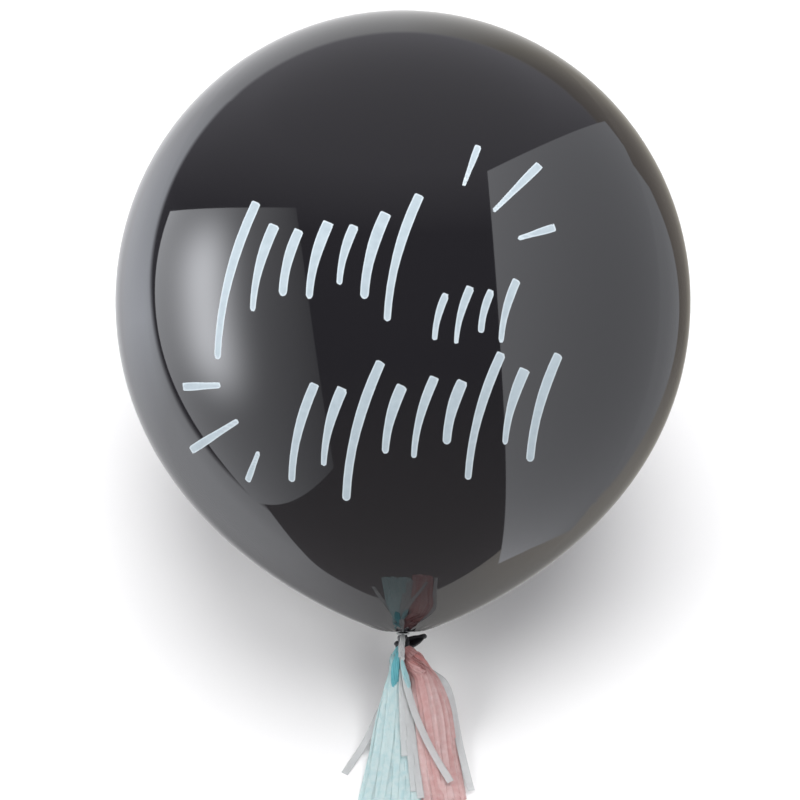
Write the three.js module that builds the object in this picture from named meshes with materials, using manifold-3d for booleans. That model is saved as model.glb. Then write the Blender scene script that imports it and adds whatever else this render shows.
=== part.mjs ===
import * as THREE from 'three';
import { mergeVertices } from 'three/addons/utils/BufferGeometryUtils.js';
import Module from 'manifold-3d';

// A big round party balloon of black latex, knotted at the neck, with three
// tissue paper tassels tied under it. It lies on the floor on a small flat spot,
// its neck down in front and its tassels spread before it.
// Millimetres, +Z up, front towards -Y. The origin is the middle of the flat spot.
// The balloon is shaped upright, neck down, and then leaned back.

// Balloon skin
const bodyRadius = 455; // half the width at the widest line
const crownHeight = 459; // widest line up to the crown
const throatDepth = 522; // widest line down to the end of the round underside
const throatRadius = 34; // radius of the skin where the underside ends
const sideHandle = 379; // how far the side runs down before it turns in
const baseHandle = 19; // how far the underside runs level into the throat
const baseDrop = 2; // how much the underside still falls there
const neckDrop = 4; // throat to the narrow waist
const waistRadius = 7; // the neck where it is tied
const skinColumns = 56; // facets round the skin
const crownRows = 15; // facet rows above the widest line
const baseRows = 16; // facet rows below it
const neckRows = 3; // facet rows from the throat to the waist

// Knot and tail
const knotRadius = 10.5; // half the width of the knot
const knotLength = 24; // along the neck
const strandRadius = 3.4; // the latex rope that the knot is made of
const lipWidth = 49; // the flattened rolled lip, between the middles of its bead
const lipHeight = 9; // the same across the slit
const lipBead = 2.7; // radius of the rolled bead
const lipTurn = 15; // degrees that the lip rises to the right
const lipAside = 12; // the lip's middle, right of the neck
const lipBehind = 20; // the lip's middle, behind the neck
const lipRise = 14; // the lip's middle above the foot of the knot
const tailThickness = 8; // the tail where it leaves the knot
const ropeFacets = 7; // facets round the knot's rope and the lip's bead
const knotSteps = 40; // along the knot's rope
const lipSteps = 32; // along the lip's bead
const tailFacets = 18; // facets round the tail
const tailRows = 6; // facet rows along it

// How it lies
const leanDeg = 50; // the neck's direction from straight down
const pressDepth = 4; // how far the skin is pressed flat on the floor

// Tissue paper
const stripWidth = 16; // a strip of a skirt, with what shows of the next one
const singleWidth = 12; // a cut strip that lies alone
const stripThickness = 2; // one strip with its loose folds
const stripRootWidth = 8; // a skirt's strip where it is gathered
const singleRootWidth = 5; // a single strip where it is gathered
const fullWidthBy = 0.3; // share of a strip's length where it is at full width
const layerStep = 1.6; // every second strip lies this much higher
const floorGap = 0.3; // under the lowest strip
const landingRun = 62; // how far a strip bends out onto the floor
const spreadReach = 36; // how far the strips spread out under a head
const stripRows = 8; // facet rows along a strip
const loopRadius = 1.5; // the twisted paper round the neck
const loopFacets = 8; // facets round it
const loopSteps = 24; // along it
const fit = 0.4; // free space between pieces that touch

// Tassel heads
const ropeTurns = 1.3; // twists in a head
const ropeLobes = 3; // folds seen round a head
const lobeDepth = 0.16; // of the head's radius
const tieShare = 0.36; // a head's radius at the tie, as a share of its full one
const headBulge = 0.72; // how soon a head is full
const headShoulder = 0.62; // how little it draws in again at its end
const headRise = 6; // where a head starts, above the foot of the knot
const headApart = 5.5; // where it starts, beside the middle
const bendBelow = 8; // where a head bends, below the foot of the knot
const headFacets = 12; // facets round a head
const headRows = 9; // facet rows along it
const frontGap = 3; // from the knot forward to the middle of a head
const whiteGap = 2; // between the white head and the two under it

const blueHeadRadius = 9;
const blueBend = 6; // how far aside the head bends
const blueAside = 9; // the head's end, left of the neck
const blueBelow = 32; // the head's end, below the foot of the knot
const blueStrips = 8;
const blueSpread = [-20, 28]; // degrees at the head, leftmost strip and rightmost
const blueFan = [-17, 6]; // degrees at the hem
const blueLength = 232; // a strip from the head's end

const pinkHeadRadius = 10;
const pinkBend = 7.5;
const pinkAside = 26;
const pinkBelow = 34;
const pinkStrips = 8;
const pinkSpread = [-8, 55];
const pinkFan = [6, 14];
const pinkLength = 240;

const whiteHeadRadius = 6;
const whiteAside = 3; // the head's end, left of the neck
const whiteBelow = 9; // the head's end, below the foot of the knot
const whiteReach = 58; // how far a single strip runs before it turns to its place
const whiteStrips = [ // degrees at the head, degrees at the hem, length
  [-31, -31, 205],
  [-6, -6, 236],
  [5, 5, 236],
  [14, 33, 216],
];
const whiteLayer = 2; // above the two layers of the other tassels
const whiteLift = 2.6; // how much higher still, where they lie on the floor

// The strip that arches out on the right, behind the pink head
const archSide = [30, 3]; // past the knot: right of the neck, in front of it
const archBack = [34, -12]; // behind the pink head
const archOut = [62, -2]; // where it comes out
const archDrop = 44; // where it comes out, below the foot of the knot
const archTurn = 58; // degrees that it heads aside there
const archReach = 16; // how far it goes that way
const archFan = 14; // degrees, where it then falls to
const archLength = 290;

const wasm = await Module();
wasm.setup();

const rad = THREE.MathUtils.degToRad;
const lerp = THREE.MathUtils.lerp;

// Solids from closed meshes, and back
function solid(geometry) {
  const bare = geometry.clone();
  bare.deleteAttribute('normal');
  bare.deleteAttribute('uv');
  const merged = mergeVertices(bare, 1e-4);
  return new wasm.Manifold(new wasm.Mesh({
    numProp: 3,
    vertProperties: new Float32Array(merged.attributes.position.array),
    triVerts: new Uint32Array(merged.index.array),
  }));
}

function geometryOf(body) {
  const mesh = body.getMesh();
  const geometry = new THREE.BufferGeometry();
  geometry.setAttribute('position', new THREE.BufferAttribute(mesh.vertProperties, 3));
  geometry.setIndex(new THREE.BufferAttribute(mesh.triVerts, 1));
  geometry.computeVertexNormals();
  return geometry;
}

// Joined into one body, with the small pockets that strips close in between them filled
function join(geometries) {
  const whole = geometries.map(solid).reduce((body, piece) => body.add(piece));
  const shells = whole.decompose().filter((shell) => shell.volume() > 0);
  return shells.reduce((body, shell) => body.add(shell));
}

// The outline of half the balloon, from the crown to the waist, as radius and depth
const baseCurve = new THREE.CubicBezierCurve(
  new THREE.Vector2(bodyRadius, 0),
  new THREE.Vector2(bodyRadius, sideHandle),
  new THREE.Vector2(throatRadius + baseHandle, throatDepth - baseDrop),
  new THREE.Vector2(throatRadius, throatDepth),
);
const waistDepth = throatDepth + neckDrop;
const neckCurve = new THREE.QuadraticBezierCurve(
  new THREE.Vector2(throatRadius, throatDepth),
  new THREE.Vector2(waistRadius, throatDepth + baseDrop),
  new THREE.Vector2(waistRadius, waistDepth),
);
const knotTop = waistDepth + 2 * (loopRadius + fit);
const knotFoot = knotTop + knotLength;

function skinOutline() {
  const crown = [];
  for (let i = 0; i < crownRows; i++) {
    const angle = (Math.PI / 2) * (i / crownRows);
    crown.push(new THREE.Vector2(bodyRadius * Math.sin(angle), -crownHeight * Math.cos(angle)));
  }
  const neck = neckCurve.getPoints(neckRows).slice(1);
  const core = [new THREE.Vector2(waistRadius, knotFoot - strandRadius)];
  const foot = [new THREE.Vector2(0, knotFoot - strandRadius)];
  return [...crown, ...baseCurve.getPoints(baseRows), ...neck, ...core, ...foot];
}

// Where the leaned skin touches the floor, measured from the middle of the body
function touchingPoint() {
  const lean = rad(leanDeg);
  const reach = (p) => p.x * Math.sin(lean) + p.y * Math.cos(lean);
  const lowest = baseCurve.getPoints(400).reduce((a, b) => (reach(b) > reach(a) ? b : a));
  return {
    below: reach(lowest),
    behind: lowest.x * Math.cos(lean) - lowest.y * Math.sin(lean),
  };
}

const touching = touchingPoint();
const leaning = new THREE.Matrix4()
  .makeTranslation(0, -touching.behind, touching.below - pressDepth)
  .multiply(new THREE.Matrix4().makeRotationX(-rad(leanDeg)));

// A place by the neck of the upright balloon: to the right, down, and in front
function byNeck(right, depth, front) {
  return new THREE.Vector3(right, -front, -depth).applyMatrix4(leaning);
}

// A tube or bar that stands along Y, laid along a curve by its own length
function layAlong(bar, curve, length, shape) {
  const share = length / curve.getLength();
  const place = bar.attributes.position;
  for (let i = 0; i < place.count; i++) {
    const s = THREE.MathUtils.clamp(place.getY(i) + 0.5, 0, 1);
    const at = curve.getPointAt(Math.min(1, s * share));
    const along = curve.getTangentAt(Math.min(1, s * share));
    const side = new THREE.Vector3().crossVectors(along, new THREE.Vector3(0, 0, 1)).normalize();
    const up = new THREE.Vector3().crossVectors(side, along);
    const [across, over] = shape(place.getX(i), place.getZ(i), s);
    at.addScaledVector(side, across).addScaledVector(up, over);
    place.setXYZ(i, at.x, at.y, at.z);
  }
  return bar;
}

// A twisted paper head: folds that turn round it, thin at the tie and full below
function head(curve, radius) {
  const bar = new THREE.CylinderGeometry(1, 1, 1, headFacets, headRows);
  return layAlong(bar, curve, curve.getLength(), (x, z, s) => {
    const angle = Math.atan2(z, x) + ropeTurns * Math.PI * s;
    const fold = 1 + lobeDepth * Math.cos(ropeLobes * Math.atan2(z, x));
    const swell = Math.sin(Math.PI * Math.min(headShoulder, headBulge * s));
    const full = radius * lerp(tieShare, 1, swell);
    const out = Math.hypot(x, z) * fold * full;
    return [out * Math.cos(angle), out * Math.sin(angle)];
  });
}

// One cut strip, narrow where it is gathered
function strip(curve, length, rootWidth, fullWidth) {
  const bar = new THREE.BoxGeometry(1, 1, 1, 1, stripRows, 1);
  return layAlong(bar, curve, length, (x, z, s) => {
    const width = lerp(rootWidth, fullWidth, Math.min(1, s / fullWidthBy));
    return [x * width, z * stripThickness];
  });
}

// The way that a strip takes: aside for a while, down the slope of the neck, and out
// along the floor
function way(start, turn, aside, fan, height) {
  const slope = rad(leanDeg);
  const heading = (deg, fall) => new THREE.Vector3(
    Math.sin(rad(deg)) * Math.sin(slope),
    -Math.cos(rad(deg)) * Math.sin(slope),
    -fall * Math.cos(slope),
  );
  const shoulder = start.clone().addScaledVector(heading(turn, 1), aside);
  const drop = Math.max(1, (shoulder.z - height) / Math.cos(slope));
  const knee = shoulder.clone().addScaledVector(heading(fan, 1), drop);
  knee.z = height;
  const level = heading(fan, 0).normalize();
  const landed = knee.clone().addScaledVector(level, landingRun);
  const beyond = landed.clone().addScaledVector(level, archLength);
  const halfway = shoulder.clone().lerp(knee, 0.5);
  return joined([
    new THREE.QuadraticBezierCurve3(start, shoulder, halfway),
    new THREE.QuadraticBezierCurve3(halfway, knee, landed),
    new THREE.LineCurve3(landed, beyond),
  ]);
}

function joined(curves) {
  const route = new THREE.CurvePath();
  curves.forEach((curve) => route.add(curve));
  route.arcLengthDivisions = 400;
  return route;
}

function floorHeight(layer) {
  return floorGap + stripThickness / 2 + layer * layerStep;
}

// The strips of one head: spread out under it, then laid in a narrower fan
function skirt(from, count, spread, fan, length) {
  const strips = [];
  for (let i = 0; i < count; i++) {
    const layer = i % 2;
    const start = from.clone();
    start.z += layer * layerStep;
    const hem = lerp(...fan, i / (count - 1));
    const turn = lerp(...spread, i / (count - 1));
    const route = way(start, turn, spreadReach, hem, floorHeight(layer));
    strips.push(strip(route, length, stripRootWidth, stripWidth));
  }
  return strips;
}

function overhandKnot() {
  const widest = 1.5; // how far a trefoil of radius 1 reaches
  const trefoil = new THREE.TorusKnotGeometry(
    (knotRadius - strandRadius) / widest, strandRadius, knotSteps, ropeFacets, 2, 3,
  );
  trefoil.computeBoundingBox();
  const height = trefoil.boundingBox.max.z - trefoil.boundingBox.min.z;
  trefoil.scale(1, 1, knotLength / height);
  trefoil.translate(0, 0, -(knotTop + knotLength / 2));
  return trefoil;
}

// The flattened end of the neck: out of the knot's foot and folded up behind it
const lipMiddle = new THREE.Vector3(lipAside, lipBehind, -(knotFoot - lipRise));
const tailWay = new THREE.QuadraticBezierCurve3(
  new THREE.Vector3(waistRadius / 2, 0, -(knotFoot - tailThickness)),
  new THREE.Vector3(lipAside / 2, tailThickness / 2, -(knotFoot + tailThickness / 2)),
  lipMiddle,
);
const lipAcross = new THREE.Vector3(Math.cos(rad(lipTurn)), 0, Math.sin(rad(lipTurn)));
const lipOut = new THREE.Vector3(0, 1, 1).normalize();
const lipUp = new THREE.Vector3().crossVectors(lipOut, lipAcross).normalize();

function tail() {
  const bar = new THREE.CylinderGeometry(1, 1, 1, tailFacets, tailRows);
  const place = bar.attributes.position;
  for (let i = 0; i < place.count; i++) {
    const s = THREE.MathUtils.clamp(place.getY(i) + 0.5, 0, 1);
    const at = tailWay.getPoint(s);
    const along = tailWay.getTangent(s);
    const up = new THREE.Vector3().crossVectors(along, lipAcross).normalize();
    const across = lerp(waistRadius, lipWidth / 2, s * s * (3 - 2 * s));
    const over = lerp(tailThickness, lipHeight, s) / 2;
    at.addScaledVector(lipAcross, -place.getX(i) * across);
    at.addScaledVector(up, place.getZ(i) * over);
    place.setXYZ(i, at.x, at.y, at.z);
  }
  return bar;
}

function lip() {
  const bead = new THREE.TorusGeometry(1, 0.5, ropeFacets, lipSteps);
  const place = bead.attributes.position;
  for (let i = 0; i < place.count; i++) {
    const around = Math.atan2(place.getY(i), place.getX(i));
    const out = (Math.hypot(place.getX(i), place.getY(i)) - 1) * 2 * lipBead;
    const across = (lipWidth / 2 + out) * Math.cos(around);
    const over = (lipHeight / 2 + out) * Math.sin(around);
    const deep = place.getZ(i) * 2 * lipBead;
    const at = lipMiddle.clone()
      .addScaledVector(lipAcross, across)
      .addScaledVector(lipUp, over)
      .addScaledVector(lipOut, deep);
    place.setXYZ(i, at.x, at.y, at.z);
  }
  return bead;
}

function balloon() {
  const outline = skinOutline().map((p) => new THREE.Vector2(p.x, -p.y)).reverse();
  const skin = new THREE.LatheGeometry(outline, skinColumns).rotateX(Math.PI / 2);
  const pieces = [skin, overhandKnot(), tail(), lip()];
  pieces.forEach((piece) => piece.applyMatrix4(leaning));
  const size = 2 * bodyRadius;
  const under = new THREE.BoxGeometry(size, size, size).translate(0, 0, -size / 2);
  return geometryOf(join(pieces).subtract(solid(under)));
}

// Heads hang in front of the knot, one on each side and the white one over them
const before = knotRadius + frontGap;
const blueHead = new THREE.QuadraticBezierCurve3(
  byNeck(-headApart, knotFoot - headRise, before),
  byNeck(-headApart - blueBend, knotFoot + bendBelow, before),
  byNeck(-blueAside, knotFoot + blueBelow, before),
);
const pinkHead = new THREE.QuadraticBezierCurve3(
  byNeck(headApart, knotFoot - headRise, before),
  byNeck(headApart + pinkBend, knotFoot + bendBelow, before),
  byNeck(pinkAside, knotFoot + pinkBelow, before),
);
const loopDepth = waistDepth + fit + loopRadius;
const loopSpread = waistRadius + fit + loopRadius;
const whiteFront = before + blueHeadRadius + whiteHeadRadius + whiteGap;
const whiteHead = new THREE.QuadraticBezierCurve3(
  byNeck(0, loopDepth, loopSpread),
  byNeck(0, knotTop, whiteFront),
  byNeck(-whiteAside, knotFoot + whiteBelow, whiteFront),
);

function blueTassel() {
  const strips = skirt(blueHead.v2, blueStrips, blueSpread, blueFan, blueLength);
  return geometryOf(join([head(blueHead, blueHeadRadius), ...strips]));
}

function pinkTassel() {
  const strips = skirt(pinkHead.v2, pinkStrips, pinkSpread, pinkFan, pinkLength);
  return geometryOf(join([head(pinkHead, pinkHeadRadius), ...strips]));
}

// From the loop's right side, behind the pink head, out on the right and down
function archWay(height) {
  const comesOut = byNeck(archOut[0], knotFoot + archDrop, archOut[1]);
  const behindHead = new THREE.CubicBezierCurve3(
    byNeck(loopSpread, loopDepth, 0),
    byNeck(archSide[0], knotTop + bendBelow, archSide[1]),
    byNeck(archBack[0], knotFoot + blueBelow, archBack[1]),
    comesOut,
  );
  return joined([behindHead, ...way(comesOut, archTurn, archReach, archFan, height).curves]);
}

function whiteTassel() {
  const loop = new THREE.TorusGeometry(loopSpread, loopRadius, loopFacets, loopSteps);
  loop.translate(0, 0, -loopDepth).applyMatrix4(leaning);
  const height = (layer) => floorHeight(whiteLayer) + whiteLift + layer * layerStep;
  const strips = whiteStrips.map(([turn, fan, length], i) => {
    const route = way(whiteHead.v2, turn, whiteReach, fan, height(i % 2));
    return strip(route, length, singleRootWidth, singleWidth);
  });
  strips.push(strip(archWay(height(0)), archLength, singleRootWidth, singleWidth));
  return geometryOf(join([loop, head(whiteHead, whiteHeadRadius), ...strips]));
}

function piece(name, geometry, color, roughness) {
  const material = new THREE.MeshStandardMaterial({ color, roughness, metalness: 0 });
  const mesh = new THREE.Mesh(geometry, material);
  mesh.name = name;
  return mesh;
}

const group = new THREE.Group();
group.add(piece('balloon', balloon(), 0x1d1c1f, 0.08));
group.add(piece('blue_tassel', blueTassel(), 0xa9d4dc, 0.85));
group.add(piece('pink_tassel', pinkTassel(), 0xd4a2a0, 0.85));
group.add(piece('white_tassel', whiteTassel(), 0xe6eaea, 0.85));

export default group;
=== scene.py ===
"""A big black party balloon that lies on the floor, with tissue paper tassels at its neck.

The balloon is shaped upright, neck down, with its painted face to the front, and then leaned
back as it lies. Metres, +Z up, front towards -Y. The sizes repeat those of the CAD source.
"""

import math
import random

import bmesh
import bpy
import numpy as np
from mathutils import Matrix, Vector, noise


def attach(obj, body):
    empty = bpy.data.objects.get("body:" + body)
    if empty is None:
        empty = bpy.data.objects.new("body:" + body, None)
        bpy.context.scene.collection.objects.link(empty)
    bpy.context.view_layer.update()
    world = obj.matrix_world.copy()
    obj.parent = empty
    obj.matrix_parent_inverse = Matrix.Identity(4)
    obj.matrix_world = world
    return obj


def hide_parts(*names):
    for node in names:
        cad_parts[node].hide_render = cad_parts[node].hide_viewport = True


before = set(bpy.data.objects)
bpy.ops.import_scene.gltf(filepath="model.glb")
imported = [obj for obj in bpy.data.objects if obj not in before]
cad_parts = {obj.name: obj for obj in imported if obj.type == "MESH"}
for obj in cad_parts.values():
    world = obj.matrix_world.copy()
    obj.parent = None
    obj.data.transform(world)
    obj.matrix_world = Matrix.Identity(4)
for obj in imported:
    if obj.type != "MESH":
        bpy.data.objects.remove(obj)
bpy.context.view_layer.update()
draw = random.Random(36)

# Balloon skin, as in the CAD source
BODY_RADIUS = 0.455
CROWN_HEIGHT = 0.459
THROAT_DEPTH = 0.522
THROAT_RADIUS = 0.034
SIDE_HANDLE = 0.379
BASE_HANDLE = 0.019
BASE_DROP = 0.002
NECK_DROP = 0.004
WAIST_RADIUS = 0.007
WAIST_DEPTH = THROAT_DEPTH + NECK_DROP

# Knot and tail
KNOT_RADIUS = 0.0105
KNOT_LENGTH = 0.024
STRAND_RADIUS = 0.0034
LIP_WIDTH = 0.049
LIP_HEIGHT = 0.009
LIP_BEAD = 0.0027
LIP_TURN = math.radians(15)
LIP_ASIDE = 0.012
LIP_BEHIND = 0.020
LIP_RISE = 0.014
TAIL_THICKNESS = 0.008

# How it lies
LEAN = math.radians(50)
PRESS_DEPTH = 0.004
PRESS_ROUNDING = 0.002

# Tissue paper
STRIP_WIDTH = 0.0125
SINGLE_WIDTH = STRIP_WIDTH * 0.92
STRIP_ROOT_WIDTH = 0.006
GATHERED_RUN = 0.05
PAPER_THICKNESS = 0.00014
LANDING_RUN = 0.062
FLOOR_GAP = 0.0003
SKIRT_STRIPS = 38
EVEN_SPREAD = 0.618034
LOOP_RADIUS = 0.0015
FIT = 0.0004
KNOT_TOP = WAIST_DEPTH + 2 * (LOOP_RADIUS + FIT)
KNOT_FOOT = KNOT_TOP + KNOT_LENGTH

# Tassel heads, by the neck
HEAD_RISE = 0.006
HEAD_APART = 0.0055
BEND_BELOW = 0.008
BEFORE = KNOT_RADIUS + 0.003
TIE_SHARE = 0.36
HEAD_BULGE = 0.72
HEAD_SHOULDER = 0.62
HEAD_TURNS = 0.6
FOLD_TURNS = 0.5
FOLD_TIP = 0.12
BLUE_RADIUS = 0.009
BLUE_AT = (-0.009, 0.032)
PINK_RADIUS = 0.0145
PINK_AT = (0.028, 0.036)
WHITE_REACH = 0.058
WHITE_HEIGHT = 0.0078

# How fine the skin, its pleats at the throat and the grown together knot are
FRONT_COLUMNS = 232
BACK_COLUMNS = 62
THROAT_PLEATS = 22
PLEATED_RADIUS = 0.075
PLEAT_HEIGHT = 0.0006
KNOT_GRAIN = 0.0007
BARE_SKIN = 0.02

# The camera stands square to the balloon's axis, above the front
FLOOR_RADIUS = 40
PANEL_DISTANCE = 3
CAMERA_DISTANCE = 4.5
CAMERA_LENS = 127.4
AIM_LEFT = 0.0047
AIM_BELOW = 0.1566


def linear(colour):
    """An sRGB hex colour as the linear RGBA that the shaders read."""
    parts = [int(colour[i:i + 2], 16) / 255 for i in (1, 3, 5)]
    return (*[p / 12.92 if p <= 0.04045 else ((p + 0.055) / 1.055) ** 2.4 for p in parts], 1)


def add_node(tree, kind, inputs=None, **settings):
    """One shader node, with its settings, its values and its links."""
    made = tree.nodes.new(kind)
    for name, value in settings.items():
        setattr(made, name, value)
    for name, value in (inputs or {}).items():
        if isinstance(value, bpy.types.NodeSocket):
            tree.links.new(value, made.inputs[name])
        else:
            made.inputs[name].default_value = value
    return made


def set_stops(ramp, stops):
    """The colours of a ramp, as (place, colour) from left to right."""
    elements = ramp.color_ramp.elements
    while len(elements) < len(stops):
        elements.new(1)
    for element, (place, colour) in zip(elements, stops):
        element.position = place
        element.color = colour


def new_material(name):
    """A material with no nodes yet, and its node tree."""
    material = bpy.data.materials.new(name)
    material.use_nodes = True
    material.node_tree.nodes.clear()
    return material, material.node_tree


def add_object(name, data):
    """An object with this data, in the scene."""
    made = bpy.data.objects.new(name, data)
    bpy.context.scene.collection.objects.link(made)
    return made


def as_mesh(bm, name):
    """The finished bmesh as a mesh."""
    mesh = bpy.data.meshes.new(name)
    bm.to_mesh(mesh)
    bm.free()
    return mesh


def joined(meshes):
    """All these meshes in one bmesh."""
    bm = bmesh.new()
    for mesh in meshes:
        bm.from_mesh(mesh)
        bpy.data.meshes.remove(mesh)
    return bm


def applied(shape):
    """The mesh that an object gives with its bevel or modifiers; the object goes."""
    bpy.context.view_layer.update()
    evaluated = shape.evaluated_get(bpy.context.evaluated_depsgraph_get())
    mesh = bpy.data.meshes.new_from_object(evaluated)
    bpy.data.objects.remove(shape)
    return mesh


def add_cut_cylinder(bm, cuts):
    """A cylinder one high, with its side cut across into rings."""
    bmesh.ops.create_cone(bm, cap_ends=True, segments=72, radius1=1, radius2=1, depth=1)
    lengthwise = [e for e in bm.edges if abs(e.verts[0].co.z - e.verts[1].co.z) > 0.5]
    bmesh.ops.subdivide_edges(bm, edges=lengthwise, cuts=cuts, use_grid_fill=True)


def bezier(points, t):
    """The point at t on the Bezier curve of these control points."""
    while len(points) > 1:
        points = [a.lerp(b, t) for a, b in zip(points, points[1:])]
    return points[0]


BASE_CURVE = [
    Vector((BODY_RADIUS, 0)),
    Vector((BODY_RADIUS, SIDE_HANDLE)),
    Vector((THROAT_RADIUS + BASE_HANDLE, THROAT_DEPTH - BASE_DROP)),
    Vector((THROAT_RADIUS, THROAT_DEPTH)),
]
NECK_CURVE = [
    Vector((THROAT_RADIUS, THROAT_DEPTH)),
    Vector((WAIST_RADIUS, THROAT_DEPTH + BASE_DROP)),
    Vector((WAIST_RADIUS, WAIST_DEPTH)),
]


def touching_point():
    """How far below and behind the middle of the leaned body the skin touches the floor."""
    def reach(p):
        return p.x * math.sin(LEAN) + p.y * math.cos(LEAN)
    lowest = max((bezier(BASE_CURVE, i / 400) for i in range(401)), key=reach)
    behind = lowest.x * math.cos(LEAN) - lowest.y * math.sin(LEAN)
    return reach(lowest), behind


BELOW, BEHIND = touching_point()
LEANING = Matrix.Translation((0, -BEHIND, BELOW - PRESS_DEPTH)) @ Matrix.Rotation(-LEAN, 4, "X")


def by_neck(right, depth, front):
    """A place by the upright balloon's axis, to the right, down and in front, as it lies."""
    return LEANING @ Vector((right, -front, -depth))


def place_piece(name, mesh, material, node):
    """The finished mesh as a piece that rides on the object and stands for its CAD node."""
    piece = add_object(name, mesh)
    mesh.materials.append(material)
    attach(piece, "root")
    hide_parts(node)
    return piece


# The painted face: strokes of pale paint on the front, as (points, first width, last width)
DASHES = [
    ([(0.1090, 0.2120), (0.0875, 0.1540)], 0.0098, 0.0054),
    ([(0.1985, 0.1860), (0.1315, 0.1170)], 0.0124, 0.0062),
    ([(0.2195, 0.0940), (0.1680, 0.0770)], 0.0112, 0.0064),
    ([(-0.3265, -0.1370), (-0.2720, -0.1350)], 0.0116, 0.0088),
    ([(-0.3185, -0.2320), (-0.2455, -0.1885)], 0.0122, 0.0080),
    ([(-0.2315, -0.2770), (-0.2140, -0.2355)], 0.0092, 0.0070),
]


def brush_row(start, step, slope, heights, widest):
    """A row of leaning brush strokes, long and short, that are no letters."""
    strokes = []
    for i, height in enumerate(heights):
        along = start[0] + step * i
        middle = start[1] + slope * step * i - 0.12 * (height - min(heights))
        half = Vector((0.13 * height, height / 2))
        foot = Vector((along, middle)) - half
        top = Vector((along, middle)) + half
        belly = foot.lerp(top, 0.45) + Vector((-0.09 * height, 0.05 * height))
        curve = [tuple(bezier([top, belly, foot], j / 8)) for j in range(9)]
        strokes.append((curve, widest * (0.86, 1)[i % 2], widest * (0.62, 0.5, 0.75)[i % 3]))
    return strokes


ROWS = [
    brush_row((-0.243, 0.036), 0.0405, 0.10, [0.222, 0.120, 0.088, 0.104, 0.080, 0.116, 0.176],
              0.0162),
    brush_row((0.053, -0.036), 0.0330, 0.12, [0.062, 0.078, 0.056, 0.086], 0.0122),
    brush_row((-0.146, -0.197), 0.0440, 0.11,
              [0.138, 0.108, 0.196, 0.092, 0.112, 0.084, 0.178, 0.104, 0.150], 0.0160),
]
STROKES = DASHES + [stroke for row in ROWS for stroke in row]


def paint_distance(across, height):
    """Metres from each place on the face to the edge of the nearest stroke, below 0 inside it."""
    nearest = np.full(len(across), BARE_SKIN)
    for points, first, last in STROKES:
        lengths = [math.dist(a, b) for a, b in zip(points, points[1:])]
        whole = sum(lengths)
        passed = 0.0
        stroke = np.ones(len(across))
        for (ax, ay), (bx, by), length in zip(points, points[1:], lengths):
            dx, dy = (bx - ax) / length, (by - ay) / length
            along = (across - ax) * dx + (height - ay) * dy
            held = np.clip(along, 0, length)
            gap = np.hypot(across - ax - held * dx, height - ay - held * dy)
            share = (passed + held) / whole
            half = (first + (last - first) * share) / 2
            swell = 1 + 0.12 * np.sin(math.pi * np.clip(share * 1.6, 0, 1))
            stroke = np.minimum(stroke, gap - half * swell)
            passed += length
        (ax, ay), (bx, by) = points[0], points[1]
        start = ((ax - across) * (bx - ax) + (ay - height) * (by - ay)) / lengths[0]
        blunt = start - first * 0.12
        stroke = np.where(blunt > stroke, np.maximum(stroke, blunt), stroke)
        nearest = np.minimum(nearest, stroke)
    return nearest


def skin_outline():
    """Half the balloon's outline as (radius, depth), close in the rows that carry the paint."""
    bare = math.radians(50)
    angles = [bare * i / 20 for i in range(20)]
    angles += [bare + (math.pi / 2 - bare) * i / 80 for i in range(80)]
    crown = [(BODY_RADIUS * math.sin(a), -CROWN_HEIGHT * math.cos(a)) for a in angles]
    painted = 0.46
    shares = [painted * i / 88 for i in range(88)]
    shares += [painted + (1 - painted) * i / 40 for i in range(41)]
    base = [tuple(bezier(BASE_CURVE, t)) for t in shares]
    neck = [tuple(bezier(NECK_CURVE, i / 8)) for i in range(1, 9)]
    core = [(WAIST_RADIUS, KNOT_FOOT - STRAND_RADIUS), (0, KNOT_FOOT - STRAND_RADIUS)]
    return crown + base + neck + core


def balloon_skin(material):
    """The blown up latex skin, closely spun at the front, where it is painted."""
    half_front = math.radians(58)
    bm = bmesh.new()
    outline = [
        bm.verts.new((r * math.sin(-half_front), -r * math.cos(half_front), -depth))
        for r, depth in skin_outline()
    ]
    chain = outline + [bm.edges.new(pair) for pair in zip(outline, outline[1:])]
    turn = {"cent": (0, 0, 0), "axis": (0, 0, 1)}
    bmesh.ops.spin(bm, geom=chain, angle=2 * half_front, steps=FRONT_COLUMNS, **turn)
    bmesh.ops.spin(bm, geom=chain, angle=2 * half_front - 2 * math.pi, steps=BACK_COLUMNS,
                   **turn)
    bmesh.ops.remove_doubles(bm, verts=bm.verts, dist=1e-6)
    bmesh.ops.recalc_face_normals(bm, faces=bm.faces)
    for v in bm.verts:
        out = math.hypot(v.co.x, v.co.y)
        if v.co.z < 0 and WAIST_RADIUS < out < PLEATED_RADIUS:
            pleat = math.cos(THROAT_PLEATS * math.atan2(v.co.y, v.co.x))
            v.co.z += PLEAT_HEIGHT * pleat * math.sin(math.pi * out / PLEATED_RADIUS)
    mesh = as_mesh(bm, "balloon_skin")
    mesh.shade_smooth()

    places = np.empty(len(mesh.vertices) * 3)
    mesh.vertices.foreach_get("co", places)
    places = places.reshape(-1, 3)
    distance = np.full(len(places), BARE_SKIN)
    front = places[:, 1] < 0
    distance[front] = paint_distance(places[front, 0], places[front, 2])
    # Millimetres to the edge of the paint
    paint = mesh.attributes.new("paint", "FLOAT", "POINT")
    paint.data.foreach_set("value", distance * 1000)

    mesh.transform(LEANING)
    for v in mesh.vertices:
        if v.co.z < PRESS_ROUNDING:
            v.co.z = PRESS_ROUNDING * math.exp((v.co.z - PRESS_ROUNDING) / PRESS_ROUNDING)
    mesh.update()
    place_piece("balloon_skin", mesh, material, "balloon")


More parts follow.
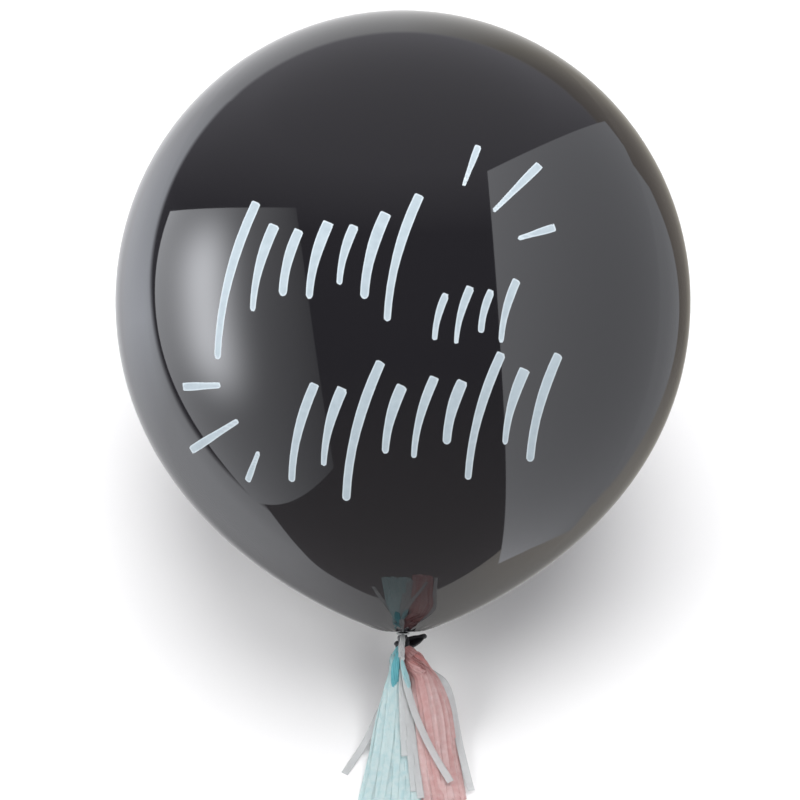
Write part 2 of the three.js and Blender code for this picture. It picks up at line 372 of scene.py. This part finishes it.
def tube_mesh(points, radius, closed):
    """A round tube along these points, made by a bevelled curve."""
    curve = bpy.data.curves.new("tube", "CURVE")
    curve.dimensions = "3D"
    curve.bevel_depth = radius
    curve.bevel_resolution = 6
    curve.use_fill_caps = True
    spline = curve.splines.new("POLY")
    spline.points.add(len(points) - 1)
    for point, place in zip(spline.points, points):
        point.co = (*place, 1)
    spline.use_cyclic_u = closed
    return applied(add_object("tube", curve))


LIP_MIDDLE = Vector((LIP_ASIDE, LIP_BEHIND, -(KNOT_FOOT - LIP_RISE)))
LIP_ACROSS = Vector((math.cos(LIP_TURN), 0, math.sin(LIP_TURN)))
LIP_OUT = Vector((0, 1, 1)).normalized()
LIP_UP = LIP_OUT.cross(LIP_ACROSS).normalized()


def trefoil_points(count):
    """The way of the overhand knot's strand round the neck."""
    radius = (KNOT_RADIUS - STRAND_RADIUS) / 1.5
    stretch = (KNOT_LENGTH / 2 - STRAND_RADIUS) / (radius / 2)
    middle = KNOT_TOP + KNOT_LENGTH / 2
    points = []
    for i in range(count):
        u = 4 * math.pi * i / count
        out = radius * (2 + math.cos(1.5 * u)) / 2
        rise = radius * math.sin(1.5 * u) / 2 * stretch
        points.append((out * math.cos(u), out * math.sin(u), rise - middle))
    return points


def tail_mesh():
    """The flattened end of the neck, folded up behind the knot, with fine pleats."""
    way = [
        Vector((WAIST_RADIUS / 2, 0, -(KNOT_FOOT - TAIL_THICKNESS))),
        Vector((LIP_ASIDE / 2, TAIL_THICKNESS / 2, -(KNOT_FOOT + TAIL_THICKNESS / 2))),
        LIP_MIDDLE,
    ]
    bm = bmesh.new()
    add_cut_cylinder(bm, 26)
    for v in bm.verts:
        s = v.co.z + 0.5
        at = bezier(way, s)
        along = (bezier(way, min(1, s + 0.01)) - bezier(way, max(0, s - 0.01))).normalized()
        up = along.cross(LIP_ACROSS).normalized()
        wide = WAIST_RADIUS + (LIP_WIDTH / 2 - WAIST_RADIUS) * s * s * (3 - 2 * s)
        thick = (TAIL_THICKNESS + (LIP_HEIGHT - TAIL_THICKNESS) * s) / 2
        pleat = 1 + 0.16 * math.sin(9 * math.atan2(v.co.y, v.co.x) + 3 * s) * s * (1 - s) * 4
        v.co = at + LIP_ACROSS * (-v.co.x * wide) + up * (v.co.y * thick * pleat)
    return as_mesh(bm, "tail")


def lip_points(count):
    """The middle of the rolled bead round the flattened lip."""
    points = []
    for i in range(count):
        around = 2 * math.pi * i / count
        wave = 0.0006 * math.sin(5 * around)
        across = LIP_ACROSS * (LIP_WIDTH / 2 * math.cos(around))
        over = LIP_UP * (LIP_HEIGHT / 2 * math.sin(around) + wave)
        points.append(tuple(LIP_MIDDLE + across + over))
    return points


def knotted_neck(material):
    """The knot, the neck's folded tail and its rolled lip, grown together as one skin."""
    neck = [(0, 0, -WAIST_DEPTH), (0, 0, -(KNOT_FOOT - STRAND_RADIUS))]
    meshes = [
        tube_mesh(neck, WAIST_RADIUS * 0.96, False),
        tube_mesh(trefoil_points(96), STRAND_RADIUS, True),
        tail_mesh(),
        tube_mesh(lip_points(96), LIP_BEAD, True),
    ]
    bm = joined(meshes)
    bmesh.ops.recalc_face_normals(bm, faces=bm.faces)
    shape = add_object("knot", as_mesh(bm, "knot"))
    remesh = shape.modifiers.new("one skin", "REMESH")
    remesh.mode = "VOXEL"
    remesh.voxel_size = KNOT_GRAIN
    mesh = applied(shape)
    bm = bmesh.new()
    bm.from_mesh(mesh)
    for _ in range(3):
        bmesh.ops.smooth_vert(bm, verts=bm.verts, factor=0.5, use_axis_x=True,
                              use_axis_y=True, use_axis_z=True)
    for v in bm.verts:
        crease = noise.noise(v.co * 260) * 0.00035 + noise.noise(v.co * 700) * 0.0001
        v.co += v.normal * crease
    bm.to_mesh(mesh)
    bm.free()
    mesh.shade_smooth()
    mesh.transform(LEANING)
    place_piece("knotted_neck", mesh, material, "balloon")


class Route:
    """A way through space, read by the length that has passed along it."""

    def __init__(self, points):
        self.points = np.array([tuple(p) for p in points])
        steps = np.linalg.norm(np.diff(self.points, axis=0), axis=1)
        self.passed = np.concatenate([[0], np.cumsum(steps)])
        self.length = self.passed[-1]

    def at(self, distance):
        """The place after this length."""
        d = min(max(distance, 0), self.length)
        return Vector([np.interp(d, self.passed, self.points[:, i]) for i in range(3)])

    def frame(self, distance):
        """The place, and the directions to the side and up."""
        reach = 0.003
        along = (self.at(distance + reach) - self.at(distance - reach)).normalized()
        side = along.cross(Vector((0, 0, 1))).normalized()
        return self.at(distance), side, side.cross(along)

    def eased(self, rounds):
        """The same way with its corners rounded and its ends kept."""
        count = round(self.length / 0.002)
        even = np.array([tuple(self.at(self.length * i / count)) for i in range(count + 1)])
        for _ in range(rounds):
            even[1:-1] = (even[:-2] + 2 * even[1:-1] + even[2:]) / 4
        return Route(even)


def strip_way(start, turn, aside, fan, height, over=False):
    """A strip's way: aside for a while, down the slope of the neck, and out along the floor.
    One that lies over the others falls no faster than they do, however far it turns aside."""
    def fall(angle):
        return math.cos(angle) if over else 1

    def heading(angle, falling):
        flat = math.sin(LEAN)
        return Vector((
            math.sin(angle) * flat,
            -math.cos(angle) * flat,
            -falling * math.cos(LEAN),
        ))
    shoulder = start + heading(turn, fall(turn)) * aside
    drop = max(0.001, (shoulder.z - height) / (math.cos(LEAN) * fall(fan)))
    knee = shoulder + heading(fan, fall(fan)) * drop
    knee.z = height
    level = heading(fan, 0).normalized()
    landed = knee + level * LANDING_RUN
    halfway = shoulder.lerp(knee, 0.5)
    points = [bezier([start, shoulder, halfway], i / 24) for i in range(24)]
    points += [bezier([halfway, knee, landed], i / 24) for i in range(25)]
    return points + [landed + level * 0.3]


class Twist:
    """The form of a head of gathered paper: thin at the tie and full below. A loose fold
    draws in again to the share of its radius that tip gives."""

    def __init__(self, control, radius, turns, tip=1.0):
        self.route = Route([bezier(control, i / 40) for i in range(41)])
        self.radius = radius
        self.turns = turns
        self.tip = tip

    def full(self, s):
        """The radius at a share of the length."""
        drawn_in = 1 - (1 - self.tip) * s ** 5
        fullness = math.sin(math.pi * min(HEAD_SHOULDER, HEAD_BULGE * s))
        return self.radius * drawn_in * (TIE_SHARE + (1 - TIE_SHARE) * fullness)

    def at(self, s, around, out):
        """The place at a share of the length, an angle round it and a share of the radius."""
        place, side, up = self.route.frame(s * self.route.length)
        turned = around + self.turns * math.pi * s
        return place + (side * math.cos(turned) + up * math.sin(turned)) * (out * self.full(s))


BLUE_TWIST = Twist([
    by_neck(-HEAD_APART, KNOT_FOOT - HEAD_RISE, BEFORE),
    by_neck(-HEAD_APART - 0.006, KNOT_FOOT + BEND_BELOW, BEFORE),
    by_neck(BLUE_AT[0], KNOT_FOOT + BLUE_AT[1], BEFORE),
], BLUE_RADIUS, HEAD_TURNS)
BLUE_LOBE = Twist([
    by_neck(-0.002, KNOT_FOOT - 0.004, BEFORE + 0.008),
    by_neck(-0.014, KNOT_FOOT + 0.016, BEFORE + 0.012),
    by_neck(-0.0135, KNOT_FOOT + 0.066, BEFORE + 0.002),
], 0.0072, FOLD_TURNS, FOLD_TIP)
BLUE_FOLD = Twist([
    by_neck(-0.003, KNOT_FOOT + 0.008, BEFORE + 0.011),
    by_neck(0.001, KNOT_FOOT + 0.030, BEFORE + 0.024),
    by_neck(0.0125, KNOT_FOOT + 0.066, BEFORE + 0.010),
], 0.0046, FOLD_TURNS, FOLD_TIP)
PINK_TWIST = Twist([
    by_neck(HEAD_APART, KNOT_FOOT - HEAD_RISE, BEFORE),
    by_neck(HEAD_APART + 0.0075, KNOT_FOOT + BEND_BELOW, BEFORE),
    by_neck(PINK_AT[0], KNOT_FOOT + PINK_AT[1], BEFORE),
], PINK_RADIUS, HEAD_TURNS)
LOOP_DEPTH = WAIST_DEPTH + FIT + LOOP_RADIUS
LOOP_SPREAD = WAIST_RADIUS + FIT + LOOP_RADIUS
WHITE_TWIST = Twist([
    by_neck(0, LOOP_DEPTH, LOOP_SPREAD),
    by_neck(-0.001, KNOT_TOP + 0.003, KNOT_RADIUS + 0.016),
    by_neck(-0.003, KNOT_FOOT + 0.009, KNOT_RADIUS + 0.0195),
], 0.0048, 1.3)


def twisted_head(twist, tone_at_tie, tone_below):
    """The twist of gathered paper, finely folded, as a mesh with its tone."""
    bm = bmesh.new()
    tone = bm.verts.layers.float.new("tone")
    add_cut_cylinder(bm, 48)
    for v in bm.verts:
        s = v.co.z + 0.5
        around = math.atan2(v.co.y, v.co.x)
        fold = 0.96 + 0.14 * math.cos(3 * around + 1.5 * s) + 0.07 * math.cos(11 * around - 7 * s)
        fold += 0.12 * noise.noise(Vector((math.cos(around) * 2, math.sin(around) * 2, 9 * s)))
        v.co = twist.at(s, around, math.hypot(v.co.x, v.co.y) * fold)
        v[tone] = tone_at_tie + (tone_below - tone_at_tie) * s
    return as_mesh(bm, "head")


def paper_strip(way, length, width, tones, roll=0.0, unroll=0.1):
    """One strip of tissue paper: gathered at its root, softly creased, square at its end.
    It starts turned by roll about its own way, and lies flat once it has run for unroll."""
    bm = bmesh.new()
    tone = bm.verts.layers.float.new("tone")
    bmesh.ops.create_grid(bm, x_segments=6, y_segments=44, size=0.5)
    route = Route(way).eased(12)
    crease = draw.uniform(0.0004, 0.0012) * draw.choice((-1, 1))
    pleat = draw.uniform(0.0006, 0.0012)
    wave = draw.uniform(0.0003, 0.0011)
    beat = draw.uniform(12, 26)
    start = draw.uniform(0, 6.28)
    sway = draw.uniform(-0.0022, 0.0022)
    for v in bm.verts:
        s = min(max(v.co.y + 0.5, 0), 1)
        x = v.co.x * 2
        distance = s * length
        at, side, up = route.frame(distance)
        turned = roll * max(0, 1 - distance / unroll) ** 1.3
        across = side * math.cos(turned) + up * math.sin(turned)
        over = up * math.cos(turned) - side * math.sin(turned)
        gathered = max(0, 1 - distance / GATHERED_RUN)
        half = (width + (STRIP_ROOT_WIDTH - width) * gathered) / 2
        rise = crease * (1 - x * x) * math.sin(math.pi * min(1, 1.2 * s))
        rise += pleat * math.cos(3 * x + start) * gathered
        rise += wave * math.sin(beat * s + start + 0.8 * x) * s
        drift = sway * math.sin(5 * s + start) * s
        v.co = at + across * (x * half + drift) + over * rise
        v.co.z = max(v.co.z, FLOOR_GAP)
        v[tone] = tones[1] + (tones[0] - tones[1]) * max(0, 1 - 3.2 * s) ** 1.6
    return as_mesh(bm, "strip")


def gathered_skirt(twist, spread, reaches, fan, length, tones):
    """Strips that leave a head all round it, fan out under it and lie over each other. The
    pairs are for its left and right edge: degrees under the head, how far it goes so, and
    degrees at the hem."""
    strips = []
    for i in range(SKIRT_STRIPS):
        share = (0.5 + i * EVEN_SPREAD) % 1
        layer = i / (SKIRT_STRIPS - 1)
        above = 1 if layer > 0.5 else -1
        end = above * math.pi * share - twist.turns * math.pi
        out = 0.72 + 0.3 * abs(2 * layer - 1)
        root = [twist.at(0.35 + 0.6 * j / 8, end - 0.3 * (1 - j / 8), out) for j in range(9)]
        turn = math.radians(spread[0] + (spread[1] - spread[0]) * share)
        hem = math.radians(fan[0] + (fan[1] - fan[0]) * share + draw.uniform(-1.2, 1.2))
        height = 0.0005 + 0.0050 * layer + draw.uniform(0, 0.0006)
        reach = (reaches[0] + (reaches[1] - reaches[0]) * share) * draw.uniform(0.85, 1.1)
        way = root + strip_way(root[-1], turn, reach, hem, height)[1:]
        strips.append(paper_strip(
            way,
            0.022 + length * draw.uniform(0.95, 1.02),
            STRIP_WIDTH * draw.uniform(0.85, 1.1),
            (tones[0] * draw.uniform(0.7, 1.2), tones[1] * draw.uniform(0.2, 1.6)),
            roll=above * math.pi * (share - 0.5) * 0.8,
        ))
    return strips


def paper_piece(name, meshes, material, node):
    """All the sheets of one tassel together, with the thickness of paper, in their place."""
    mesh = as_mesh(joined(meshes), name)
    mesh.shade_smooth()
    piece = place_piece(name, mesh, material, node)
    sheet = piece.modifiers.new("sheet thickness", "SOLIDIFY")
    sheet.thickness = PAPER_THICKNESS
    sheet.offset = 0


def blue_tassel(material):
    sheets = gathered_skirt(BLUE_TWIST, spread=(-22, 26), reaches=(0.088, 0.052),
                            fan=(-11.5, 4), length=0.232, tones=(0.3, -0.05))
    heads = [
        twisted_head(BLUE_TWIST, 0.9, 0.4),
        twisted_head(BLUE_LOBE, 1.7, 1.5),
        twisted_head(BLUE_FOLD, 0.55, 0.35),
    ]
    paper_piece("blue_tissue_tassel", heads + sheets, material, "blue_tassel")


def pink_tassel(material):
    sheets = gathered_skirt(PINK_TWIST, spread=(0, 54), reaches=(0.036, 0.048),
                            fan=(7, 9.8), length=0.240, tones=(1.25, 0.35))
    heads = [twisted_head(PINK_TWIST, 0.95, 0.45)]
    paper_piece("pink_tissue_tassel", heads + sheets, material, "pink_tassel")


def neck_loop():
    """The twisted paper tied round the balloon's neck."""
    ring = [
        (LOOP_SPREAD * math.cos(a), LOOP_SPREAD * math.sin(a), -LOOP_DEPTH)
        for a in (2 * math.pi * i / 48 for i in range(48))
    ]
    mesh = tube_mesh(ring, LOOP_RADIUS, True)
    mesh.transform(LEANING)
    return mesh


def arch_way():
    """From the foot of the knot, behind the pink head, out on the right and down."""
    comes_out = by_neck(0.062, KNOT_FOOT + 0.046, 0.000)
    control = [
        by_neck(0.006, KNOT_FOOT - 0.004, 0.004),
        by_neck(0.018, KNOT_FOOT + 0.014, 0.002),
        by_neck(0.032, KNOT_FOOT + 0.028, -0.012),
        comes_out,
    ]
    behind_head = [bezier(control, i / 20) for i in range(20)]
    falls = strip_way(comes_out, math.radians(58), 0.020, math.radians(11.5), WHITE_HEIGHT)
    return behind_head + falls


def white_tassel(material):
    tie = WHITE_TWIST.at(0.94, 0, 0)
    inside = by_neck(-0.003, KNOT_FOOT + 0.028, BEFORE + 0.0115)
    under = by_neck(-0.012, KNOT_FOOT + 0.034, 0.004)
    # Start, degrees there, degrees at the hem, length, height on the floor, over the others
    singles = [
        (inside, 3, 3, 0.138, 0.0088, False),
        (inside, 12, 5, 0.198, 0.0076, False),
        (inside, 18, 7, 0.212, 0.0084, False),
        (tie, 10, 29, 0.217, 0.0150, True),
        (under, -28, -31, 0.186, 0.0004, False),
    ]
    sheets = [twisted_head(WHITE_TWIST, 0.9, 0.5), neck_loop()]
    for start, turn, fan, length, height, over in singles:
        way = strip_way(start, math.radians(turn), WHITE_REACH, math.radians(fan), height, over)
        sheets.append(paper_strip(way, length, SINGLE_WIDTH, (0.5, draw.uniform(0.1, 0.4))))
    sheets.append(paper_strip(arch_way(), 0.272, SINGLE_WIDTH, (0.5, 0.3), roll=0.5, unroll=0.15))
    paper_piece("white_tissue_tassel", sheets, material, "white_tassel")


def black_latex_with_paint():
    """Stretched natural latex, dyed black and blown tight: a deep gloss, and on its front dry
    pale paint marker, duller than the skin, a little blotched and whiter along its edges."""
    material, tree = new_material("painted black latex")
    paint = add_node(tree, "ShaderNodeAttribute", attribute_name="paint")
    object_place = add_node(tree, "ShaderNodeTexCoord").outputs["Object"]
    blotch = add_node(tree, "ShaderNodeTexNoise", {
        "Vector": object_place, "Scale": 90, "Detail": 3, "Roughness": 0.6})
    covered = add_node(tree, "ShaderNodeMapRange", {
        "Value": paint.outputs["Fac"], "From Min": 0.35, "From Max": -0.35})
    from_edge = add_node(tree, "ShaderNodeMapRange", {
        "Value": paint.outputs["Fac"], "From Min": -0.4, "From Max": -2.4})
    inner = add_node(tree, "ShaderNodeMix", {
        0: blotch.outputs["Fac"], 6: linear("#8f9ca4"), 7: linear("#a9b5bb")}, data_type="RGBA")
    painted = add_node(tree, "ShaderNodeMix", {
        0: from_edge.outputs["Result"], 6: linear("#bcc6cb"), 7: inner.outputs[2]},
        data_type="RGBA")
    skin = add_node(tree, "ShaderNodeBsdfPrincipled", {
        "Base Color": linear("#141316"), "Roughness": 0.03, "IOR": 1.52})
    marker = add_node(tree, "ShaderNodeBsdfPrincipled", {
        "Base Color": painted.outputs[2], "Roughness": 0.5, "IOR": 1.3})
    mixed = add_node(tree, "ShaderNodeMixShader", {
        0: covered.outputs["Result"], 1: skin.outputs[0], 2: marker.outputs[0]})
    add_node(tree, "ShaderNodeOutputMaterial", {"Surface": mixed.outputs[0]})
    return material


def slack_black_latex():
    """The same latex where it isn't stretched: thick, matt and velvety, with a soft shine."""
    material, tree = new_material("slack black latex")
    object_place = add_node(tree, "ShaderNodeTexCoord").outputs["Object"]
    dust = add_node(tree, "ShaderNodeTexNoise", {
        "Vector": object_place, "Scale": 400, "Detail": 3, "Roughness": 0.6})
    gloss = add_node(tree, "ShaderNodeMapRange", {
        "Value": dust.outputs["Fac"], "To Min": 0.28, "To Max": 0.5})
    shader = add_node(tree, "ShaderNodeBsdfPrincipled", {
        "Base Color": linear("#161417"), "Roughness": gloss.outputs["Result"], "IOR": 1.42})
    add_node(tree, "ShaderNodeOutputMaterial", {"Surface": shader.outputs[0]})
    return material


def tissue_paper(name, deep, pale, see_through):
    """Tissue paper, dyed in the pulp: thin and matt, lit through from behind, paler where
    fewer layers lie over each other, with the faint cloudiness of its fibres."""
    material, tree = new_material(name)
    object_place = add_node(tree, "ShaderNodeTexCoord").outputs["Object"]
    tone = add_node(tree, "ShaderNodeAttribute", attribute_name="tone")
    cloud = add_node(tree, "ShaderNodeTexNoise", {
        "Vector": object_place, "Scale": 110, "Detail": 2, "Roughness": 0.5})
    fibre = add_node(tree, "ShaderNodeTexNoise", {
        "Vector": object_place, "Scale": 900, "Detail": 2, "Roughness": 0.6})
    shade = add_node(tree, "ShaderNodeMath", {
        0: tone.outputs["Fac"], 1: cloud.outputs["Fac"]}, operation="ADD")
    share = add_node(tree, "ShaderNodeMapRange", {
        "Value": shade.outputs[0], "From Min": 0.35, "From Max": 1.7})
    colour = add_node(tree, "ShaderNodeMix", {
        0: share.outputs["Result"], 6: linear(pale), 7: linear(deep)}, data_type="RGBA")
    bump = add_node(tree, "ShaderNodeBump", {
        "Height": fibre.outputs["Fac"], "Strength": 0.25, "Distance": 0.0004})
    face = add_node(tree, "ShaderNodeBsdfPrincipled", {
        "Base Color": colour.outputs[2], "Roughness": 0.75, "Specular IOR Level": 0.25,
        "Normal": bump.outputs[0]})
    through = add_node(tree, "ShaderNodeBsdfTranslucent", {"Color": colour.outputs[2]})
    mixed = add_node(tree, "ShaderNodeMixShader", {
        0: 0.38, 1: face.outputs[0], 2: through.outputs[0]})
    gaps = add_node(tree, "ShaderNodeBsdfTransparent")
    sheet = add_node(tree, "ShaderNodeMixShader", {
        0: see_through, 1: mixed.outputs[0], 2: gaps.outputs[0]})
    add_node(tree, "ShaderNodeOutputMaterial", {"Surface": sheet.outputs[0]})
    return material


def soft_panel_glow():
    """A lit diffuser cloth, as bright as the panel's own attribute says at each place."""
    material, tree = new_material("diffuser cloth")
    glow = add_node(tree, "ShaderNodeAttribute", attribute_name="glow")
    shine = add_node(tree, "ShaderNodeEmission", {
        "Color": linear("#f1f3f8"), "Strength": glow.outputs["Fac"]})
    add_node(tree, "ShaderNodeOutputMaterial", {"Surface": shine.outputs[0]})
    return material


# The camera's own directions: right, up and back from the balloon to the camera
RIGHT = Vector((1, 0, 0))
UP = Vector((0, math.sin(LEAN), math.cos(LEAN)))
BACK = Vector((0, -math.cos(LEAN), math.sin(LEAN)))
MIDDLE = LEANING @ Vector((0, 0, 0))


def seen_in_skin(across, height):
    """The direction that is mirrored to the camera at this place on the balloon's face."""
    x, y = across / BODY_RADIUS, height / BODY_RADIUS
    z = math.sqrt(max(0.0004, 1 - x * x - y * y))
    return RIGHT * (2 * z * x) + UP * (2 * z * y) + BACK * (2 * z * z - 1)


def reflector(name, corners, bulge, sag, brightness, material):
    """A soft light panel that only shows mirrored in the skin, set by where it shows there.
    Its outer side is bowed by bulge and its foot by sag. brightness gives its glow at a share
    across and up."""
    bm = bmesh.new()
    glow = bm.verts.layers.float.new("glow")
    bmesh.ops.create_grid(bm, x_segments=48, y_segments=48, size=0.5)
    low_inner, low_outer, top_outer, top_inner = [Vector(c) for c in corners]
    for v in bm.verts:
        x, y = v.co.x + 0.5, v.co.y + 0.5
        place = low_inner.lerp(low_outer, x).lerp(top_inner.lerp(top_outer, x), y)
        place.x += bulge * 4 * y * (1 - y) * x
        place.y -= sag * 4 * x * (1 - x) * (1 - y)
        v.co = MIDDLE + seen_in_skin(*place) * PANEL_DISTANCE
        v[glow] = brightness(x, y)
    mesh = as_mesh(bm, name)
    mesh.materials.append(material)
    panel = add_object(name, mesh)
    panel.visible_camera = False
    panel.visible_diffuse = False
    panel.visible_transmission = False
    panel.visible_shadow = False


def left_brightness(x, y):
    """Brightest where the lamp stands behind the cloth, dim on the inner side."""
    lamp = math.exp(-((x - 0.64) / 0.17) ** 2 - ((y - 0.66) / 0.27) ** 4)
    return 0.7 + 2.6 * x ** 0.8 * (0.36 + 0.64 * y) + 8.0 * lamp


def right_brightness(x, y):
    """Brightest on the inner side, and dimmer towards its foot."""
    return (2.7 - 1.9 * x) * (0.72 + 0.28 * y)


def soft_light(name, place, aim, size, power):
    """A round soft box that isn't mirrored in the skin."""
    light = bpy.data.lights.new(name, "AREA")
    light.shape = "DISK"
    light.size = size
    light.energy = power
    lamp = add_object(name, light)
    lamp.location = place
    lamp.rotation_mode = "QUATERNION"
    lamp.rotation_quaternion = (Vector(place) - Vector(aim)).to_track_quat("Z", "Y")
    lamp.visible_camera = False
    lamp.visible_glossy = False


def studio():
    """A plain pale floor, soft lights, and a room that is dark before the balloon's face."""
    bm = bmesh.new()
    bmesh.ops.create_circle(bm, cap_ends=True, segments=96, radius=FLOOR_RADIUS)
    mesh = as_mesh(bm, "floor")
    floor = add_object("floor", mesh)
    matt, tree = new_material("matt studio floor")
    from_middle = add_node(tree, "ShaderNodeVectorMath", {
        0: add_node(tree, "ShaderNodeTexCoord").outputs["Object"]}, operation="LENGTH")
    own_lamps = add_node(tree, "ShaderNodeMapRange", {
        "Value": from_middle.outputs["Value"], "From Min": 2, "From Max": 7, "To Max": 0.8})
    shader = add_node(tree, "ShaderNodeBsdfPrincipled", {
        "Base Color": linear("#f4f4f3"), "Roughness": 0.9,
        "Emission Color": linear("#ffffff"), "Emission Strength": own_lamps.outputs["Result"]})
    add_node(tree, "ShaderNodeOutputMaterial", {"Surface": shader.outputs[0]})
    mesh.materials.append(matt)
    floor.visible_glossy = False

    soft_light("top light", (0.3, 0.6, 3.6), (0, 0, 0.3), 4.0, 150)
    soft_light("left light", (-3.0, -1.2, 2.0), (0, 0, 0.4), 2.4, 70)
    soft_light("front light", (1.6, -3.2, 2.2), (0, -0.3, 0.2), 2.4, 60)

    cloth = soft_panel_glow()
    reflector("left panel", [(-0.100, -0.228), (-0.222, -0.276), (-0.340, 0.134), (-0.150, 0.124)],
              -0.072, 0.019, left_brightness, cloth)
    reflector("right panel", [(0.159, -0.350), (0.272, -0.315), (0.296, 0.270), (0.118, 0.175)],
              0.135, 0.0, right_brightness, cloth)

    # White to the camera. Mirrored in the skin it is a pale ceiling, a dark room in front and
    # a lit ground behind, which shows along the rim
    world = bpy.data.worlds.new("studio")
    bpy.context.scene.world = world
    world.use_nodes = True
    tree = world.node_tree
    tree.nodes.clear()
    direction = add_node(tree, "ShaderNodeTexCoord").outputs["Generated"]

    def share_towards(axis):
        towards = add_node(tree, "ShaderNodeVectorMath", {0: direction, 1: tuple(axis)},
                           operation="DOT_PRODUCT")
        return add_node(tree, "ShaderNodeMapRange", {
            "Value": towards.outputs["Value"], "From Min": -1, "From Max": 1}).outputs["Result"]

    upwards = share_towards(UP)
    rightwards = share_towards(RIGHT)
    backwards = share_towards(BACK)
    ceiling = add_node(tree, "ShaderNodeValToRGB", {"Fac": upwards})
    set_stops(ceiling, [
        (0.0, linear("#8a8685")), (0.30, linear("#6e6d73")), (0.70, linear("#6e6d73")),
        (0.88, linear("#b2b1b7")), (1.0, linear("#bcbbc0"))])
    backdrop = add_node(tree, "ShaderNodeValToRGB", {"Fac": share_towards(BACK + UP * 0.2)})
    set_stops(backdrop, [
        (0.0, linear("#ffffff")), (0.262, linear("#ffffff")), (0.285, linear("#000000"))])
    sides = add_node(tree, "ShaderNodeValToRGB", {"Fac": rightwards})
    set_stops(sides, [
        (0.09, linear("#f2f6ff")), (0.27, linear("#bdbec2")), (0.5, linear("#b2b2b2")),
        (0.64, linear("#858179")), (0.72, linear("#746f69")), (0.85, linear("#6e6862")),
        (0.95, linear("#524e48"))])
    lower = add_node(tree, "ShaderNodeValToRGB", {"Fac": rightwards})
    set_stops(lower, [
        (0.08, linear("#cfd1d6")), (0.30, linear("#b4b5b8")), (0.385, linear("#9b9b9d")),
        (0.445, linear("#8e8e8f")), (0.62, linear("#989693")), (0.70, linear("#a29e98"))])
    above = add_node(tree, "ShaderNodeMapRange", {
        "Value": upwards, "From Min": 0.34, "From Max": 0.49})
    around = add_node(tree, "ShaderNodeMix", {
        0: above.outputs["Result"], 6: lower.outputs["Color"], 7: sides.outputs["Color"]},
        data_type="RGBA")
    near_gain = add_node(tree, "ShaderNodeMapRange", {
        "Value": upwards, "From Min": 0.49, "From Max": 0.62,
        "To Min": 1.22, "To Max": 1})
    far_gain = add_node(tree, "ShaderNodeMapRange", {
        "Value": upwards, "From Min": 0.34, "From Max": 0.62,
        "To Min": 0.5, "To Max": 0.95})
    fading = add_node(tree, "ShaderNodeMapRange", {
        "Value": backwards, "From Min": 0.05, "From Max": 0.25,
        "To Min": far_gain.outputs["Result"], "To Max": near_gain.outputs["Result"]})
    dimmed = add_node(tree, "ShaderNodeMix", {
        0: 1, 6: around.outputs[2], 7: fading.outputs["Result"]},
        data_type="RGBA", blend_type="MULTIPLY")
    foot = add_node(tree, "ShaderNodeValToRGB", {"Fac": rightwards})
    foot.color_ramp.interpolation = "CARDINAL"
    set_stops(foot, [(place, (share, share, share, 1)) for place, share in (
        (0.2, 0.36), (0.31, 0.262), (0.4, 0.228), (0.52, 0.232), (0.7, 0.286), (0.8, 0.36))])
    before_foot = add_node(tree, "ShaderNodeMath", {
        0: backwards, 1: foot.outputs["Color"]}, operation="LESS_THAN")
    backed = add_node(tree, "ShaderNodeMath", {
        0: backdrop.outputs["Color"], 1: before_foot.outputs[0]}, operation="MULTIPLY")
    room = add_node(tree, "ShaderNodeMix", {
        0: backed.outputs[0], 6: ceiling.outputs["Color"], 7: dimmed.outputs[2]},
        data_type="RGBA")
    backdrop_gain = add_node(tree, "ShaderNodeMapRange", {
        "Value": backed.outputs[0], "To Min": 1.3, "To Max": 2.3})
    rays = add_node(tree, "ShaderNodeLightPath")
    colour = add_node(tree, "ShaderNodeMix", {
        0: rays.outputs["Is Camera Ray"], 6: room.outputs[2], 7: linear("#ffffff")},
        data_type="RGBA")
    sky = add_node(tree, "ShaderNodeBackground", {
        "Color": colour.outputs[2],
        "Strength": backdrop_gain.outputs["Result"]})
    add_node(tree, "ShaderNodeOutputWorld", {"Surface": sky.outputs[0]})


def photograph():
    """The camera, above the front, square to the balloon's axis."""
    camera = add_object("camera", bpy.data.cameras.new("camera"))
    camera.data.lens = CAMERA_LENS
    camera.data.sensor_width = 36
    camera.data.clip_end = 200
    aim = MIDDLE - RIGHT * AIM_LEFT - UP * AIM_BELOW
    camera.location = aim + BACK * CAMERA_DISTANCE
    camera.rotation_mode = "QUATERNION"
    camera.rotation_quaternion = BACK.to_track_quat("Z", "Y")
    bpy.context.scene.camera = camera


photograph()
studio()
balloon_skin(black_latex_with_paint())
knotted_neck(slack_black_latex())
blue_tassel(tissue_paper("aqua tissue paper", "#7dc8d1", "#dfeeee", 0.12))
pink_tassel(tissue_paper("pink tissue paper", "#cf928f", "#eedad8", 0.12))
white_tassel(tissue_paper("white tissue paper", "#cecfcf", "#e1e3e3", 0.16))
bpy.context.scene.view_settings.view_transform = "Standard"
